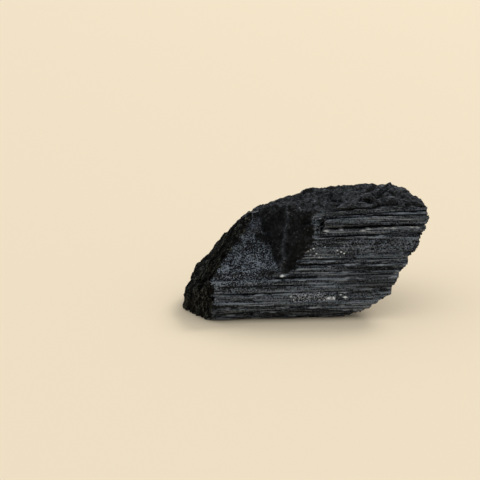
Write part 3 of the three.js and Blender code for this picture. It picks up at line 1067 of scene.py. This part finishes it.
def bark_material(settings):
    """Weathered faces: dull olive black with crossing needles of lighter dust along the left end's slope.

    Painted shade darkens the grooves.
    """
    shader = Shader("tourmaline_bark")
    patches = shader.grain(*BARK_PATCHES)
    needles = [shader.grain(*NEEDLES, turn=NEEDLE_TURN + lean) for lean in NEEDLE_LEANS]
    dusty = shader.math("MAXIMUM", *[shader.between(needle, *NEEDLE_RANGE) for needle in needles])
    dusty = shader.math("MULTIPLY", dusty, shader.between(patches, *DUST_RANGE))
    body = shader.mix(dusty, colour(settings.bark_colour), colour(settings.dust_colour))
    # Painted shade in the grooves
    groove_shade = shader.between(shader.attribute("groove"), *BARK_GROOVE_SHADE_RANGE)
    body = shader.mix(groove_shade, body, colour(settings.black_and_shade_colour))
    height = shader.total(needles, NEEDLE_WEIGHTS)
    return shader.finish(
        Base_Color=body, Roughness=shader.between(patches, *BARK_GLOSS), IOR=TOURMALINE_IOR,
        Specular_IOR_Level=BARK_SPECULAR, Normal=shader.bump(height, BARK_BUMP))


def floor_material(settings):
    """Plain cream paper with the faintest tooth."""
    shader = Shader("cream_paper")
    darker = tuple(channel * PAPER_TOOTH for channel in settings.floor_colour)
    body = shader.mix(shader.grain(*TOOTH), colour(darker), colour(settings.floor_colour))
    return shader.finish(Base_Color=body, Roughness=PAPER_ROUGHNESS, Specular_IOR_Level=PAPER_SPECULAR)


# The stage, in metres but for the camera's sensor, which is in millimetres

FLOOR_SIZE = 6.0
FLOOR_DROP = 0.00002
TARGET = Vector((np.array([-15.9, 0.0, 16.4]) - MIDDLE) * MM)
CAMERA_DISTANCE = 0.42
CAMERA_AZIMUTH = math.radians(-4)
CAMERA_ELEVATION = math.radians(18)
CAMERA_NEAR = 0.042
CAMERA_FAR = 12.0
SENSOR_WIDTH = 36.0
KEY_PLACE = Vector((1.5, 1.3, 2.3))
KEY_SIZE = 1.2
DOME_TOP = 0.9  # the height in the sky, from 0 to 1, from which it is as bright as overhead


def look_at(thing, target):
    """Turns a lamp or a camera, which look along their own -Z, towards a point."""
    thing.rotation_euler = (target - thing.location).to_track_quat("-Z", "Y").to_euler()


def add_object(scene, name, data):
    """A new object in the scene."""
    made = bpy.data.objects.new(name, data)
    scene.collection.objects.link(made)
    return made


def add_floor(scene, settings):
    """A square of paper just below the crystal."""
    half = FLOOR_SIZE / 2
    corners = [(x, y, -FLOOR_DROP) for x, y in ((-half, -half), (half, -half), (half, half), (-half, half))]
    mesh = bpy.data.meshes.new("floor")
    mesh.from_pydata(corners, [], [(0, 1, 2, 3)])
    mesh.materials.append(floor_material(settings))
    add_object(scene, "floor", mesh)


def add_sky(scene, settings):
    """Light from all round, brighter overhead than at the horizon."""
    world = bpy.data.worlds.new("soft_light")
    world.use_nodes = True
    nodes, links = world.node_tree.nodes, world.node_tree.links
    background = nodes["Background"]
    background.inputs["Color"].default_value = colour(settings.sky_colour)
    height = nodes.new("ShaderNodeSeparateXYZ")
    links.new(nodes.new("ShaderNodeTexCoord").outputs["Generated"], height.inputs["Vector"])
    dome = nodes.new("ShaderNodeMapRange")
    dome.interpolation_type = "SMOOTHSTEP"
    dome.inputs["From Max"].default_value = DOME_TOP
    dome.inputs["To Min"].default_value = settings.horizon_strength
    dome.inputs["To Max"].default_value = settings.sky_strength
    links.new(height.outputs["Z"], dome.inputs["Value"])
    links.new(dome.outputs["Result"], background.inputs["Strength"])
    scene.world = world


def add_key(scene, settings):
    """A large soft lamp behind the crystal on the right."""
    lamp = bpy.data.lights.new("key", "AREA")
    lamp.shape = "DISK"
    lamp.size = KEY_SIZE
    lamp.energy = settings.key_power
    key = add_object(scene, "key", lamp)
    key.location = KEY_PLACE
    look_at(key, Vector())


def add_camera(scene, settings):
    """A camera in front of the crystal, a little above it."""
    lens = bpy.data.cameras.new("camera")
    lens.sensor_width = SENSOR_WIDTH
    lens.lens = settings.lens
    lens.clip_start = CAMERA_NEAR
    lens.clip_end = CAMERA_FAR
    camera = add_object(scene, "camera", lens)
    level = math.cos(CAMERA_ELEVATION)
    sideways, forward = math.sin(CAMERA_AZIMUTH), -math.cos(CAMERA_AZIMUTH)
    back = Vector((sideways * level, forward * level, math.sin(CAMERA_ELEVATION)))
    camera.location = TARGET + CAMERA_DISTANCE * back
    look_at(camera, TARGET)
    scene.camera = camera


# What a user would change

def colour_property(name, description, default):
    """A colour in linear light."""
    return bpy.props.FloatVectorProperty(
        name=name, description=description, default=default, subtype="COLOR", size=3, min=0.0, max=1.0)


class TourmalineSettings(bpy.types.PropertyGroup):
    """Colours of the crystal, with those of its painted shade, sheen and glints."""

    face_colour: colour_property("Face", "Colour of the fresh faces", (0.003, 0.0036, 0.0048))
    # Streaks and Sugar hold painted sheen as well as the lighter grain
    streak_and_sheen_colour: colour_property("Streaks", "Colour of the lighter streaks", (0.128, 0.147, 0.172))
    sugar_and_sheen_colour: colour_property("Sugar", "Colour of the sugary grain", (0.192, 0.222, 0.264))
    # Specks: colour of the painted glints, as specks and sparks
    glint_speck_colour: colour_property("Specks", "Colour of the brightest specks", (0.92, 0.95, 0.98))
    # Glints: colour of the painted glints on ledges, of the bright threads and of the sugary grain's sparkle
    glint_colour: colour_property("Glints", "Colour of ledges that look up", (0.30, 0.32, 0.35))
    dull_colour: colour_property("Dull", "Colour of the broken top's lighter grains", (0.075, 0.080, 0.090))
    # Deep is the near-black of dark grains and of painted shade in grooves, pits and shaded places
    black_and_shade_colour: colour_property("Deep", "Colour of deep grooves and pits", (0.0016, 0.0016, 0.0016))
    stain_colour: colour_property("Stain", "Colour of the stain in the grooves", (0.036, 0.027, 0.016))
    bark_colour: colour_property("Bark", "Colour of the weathered faces", (0.0016, 0.0016, 0.0011))
    dust_colour: colour_property("Dust", "Colour of the dust on the weathered faces", (0.105, 0.112, 0.096))


class StageSettings(bpy.types.PropertyGroup):
    """The floor, the light and the camera."""

    floor_colour: colour_property("Floor", "Colour of the floor", (0.85, 0.715, 0.525))
    sky_colour: colour_property("Sky", "Colour of the light from all round", (0.95, 0.98, 1.0))
    sky_strength: bpy.props.FloatProperty(
        name="Sky strength", description="Brightness of the light from above", default=0.95, min=0.0)
    horizon_strength: bpy.props.FloatProperty(
        name="Horizon strength", description="Brightness of the light from the sides", default=0.32,
        min=0.0)
    key_power: bpy.props.FloatProperty(
        name="Key power", description="Power of the large soft light", default=35.0, min=0.0, unit="POWER")
    lens: bpy.props.FloatProperty(
        name="Lens", description="Focal length of the camera", default=130.5, min=1.0, unit="CAMERA")


# Operators

class MESH_OT_tourmaline_crystal(bpy.types.Operator):
    """Build the crystal's surface in place of its solid"""

    bl_idname = "mesh.tourmaline_crystal"
    bl_label = "Crystal"

    def execute(self, context):
        settings = context.scene.tourmaline
        vertices, quads, triangles, attributes = crystal_surface()
        mesh = mesh_from_arrays("tourmaline", vertices, quads, triangles)
        for name, values in attributes.items():
            layer = mesh.attributes.new(name, "FLOAT", "POINT")
            layer.data.foreach_set("value", values.astype(np.float32))
        mesh.materials.append(face_material(settings))
        mesh.materials.append(bark_material(settings))
        # A face has the finish of one of its corners, and none takes a pole's.
        corners = np.concatenate([quads[:, 0], triangles[:, 1]])
        weathered = attributes["finish"][corners] == FINISHES.index("bark")
        mesh.polygons.foreach_set("material_index", weathered.astype(np.int32))
        mesh.shade_smooth()
        mesh.set_sharp_from_angle(angle=SHARP_ANGLE)
        crystal = add_object(context.scene, "tourmaline", mesh)
        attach(crystal, "root")
        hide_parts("crystal")
        return {"FINISHED"}


class SCENE_OT_tourmaline_stage(bpy.types.Operator):
    """Lay the floor and set the light and the camera"""

    bl_idname = "scene.tourmaline_stage"
    bl_label = "Stage"

    def execute(self, context):
        settings = context.scene.tourmaline_stage
        for add in (add_floor, add_sky, add_key, add_camera):
            add(context.scene, settings)
        context.scene.view_settings.view_transform = "Standard"
        return {"FINISHED"}


class VIEW3D_PT_tourmaline(bpy.types.Panel):
    """The crystal's and the stage's buttons and settings."""

    bl_label = "Tourmaline"
    bl_space_type = "VIEW_3D"
    bl_region_type = "UI"
    bl_category = "Tourmaline"

    def draw(self, context):
        for operator, settings in ((MESH_OT_tourmaline_crystal, context.scene.tourmaline),
                                   (SCENE_OT_tourmaline_stage, context.scene.tourmaline_stage)):
            box = self.layout.box()
            box.operator(operator.bl_idname)
            for name in settings.__annotations__:
                box.prop(settings, name)


CLASSES = (TourmalineSettings, StageSettings, MESH_OT_tourmaline_crystal, SCENE_OT_tourmaline_stage,
           VIEW3D_PT_tourmaline)


def register():
    for cls in CLASSES:
        bpy.utils.register_class(cls)
    bpy.types.Scene.tourmaline = bpy.props.PointerProperty(type=TourmalineSettings)
    bpy.types.Scene.tourmaline_stage = bpy.props.PointerProperty(type=StageSettings)


def unregister():
    del bpy.types.Scene.tourmaline_stage
    del bpy.types.Scene.tourmaline
    for cls in reversed(CLASSES):
        bpy.utils.unregister_class(cls)


def main():
    register()
    bpy.ops.mesh.tourmaline_crystal()
    bpy.ops.scene.tourmaline_stage()


if __name__ == "__main__":
    main()
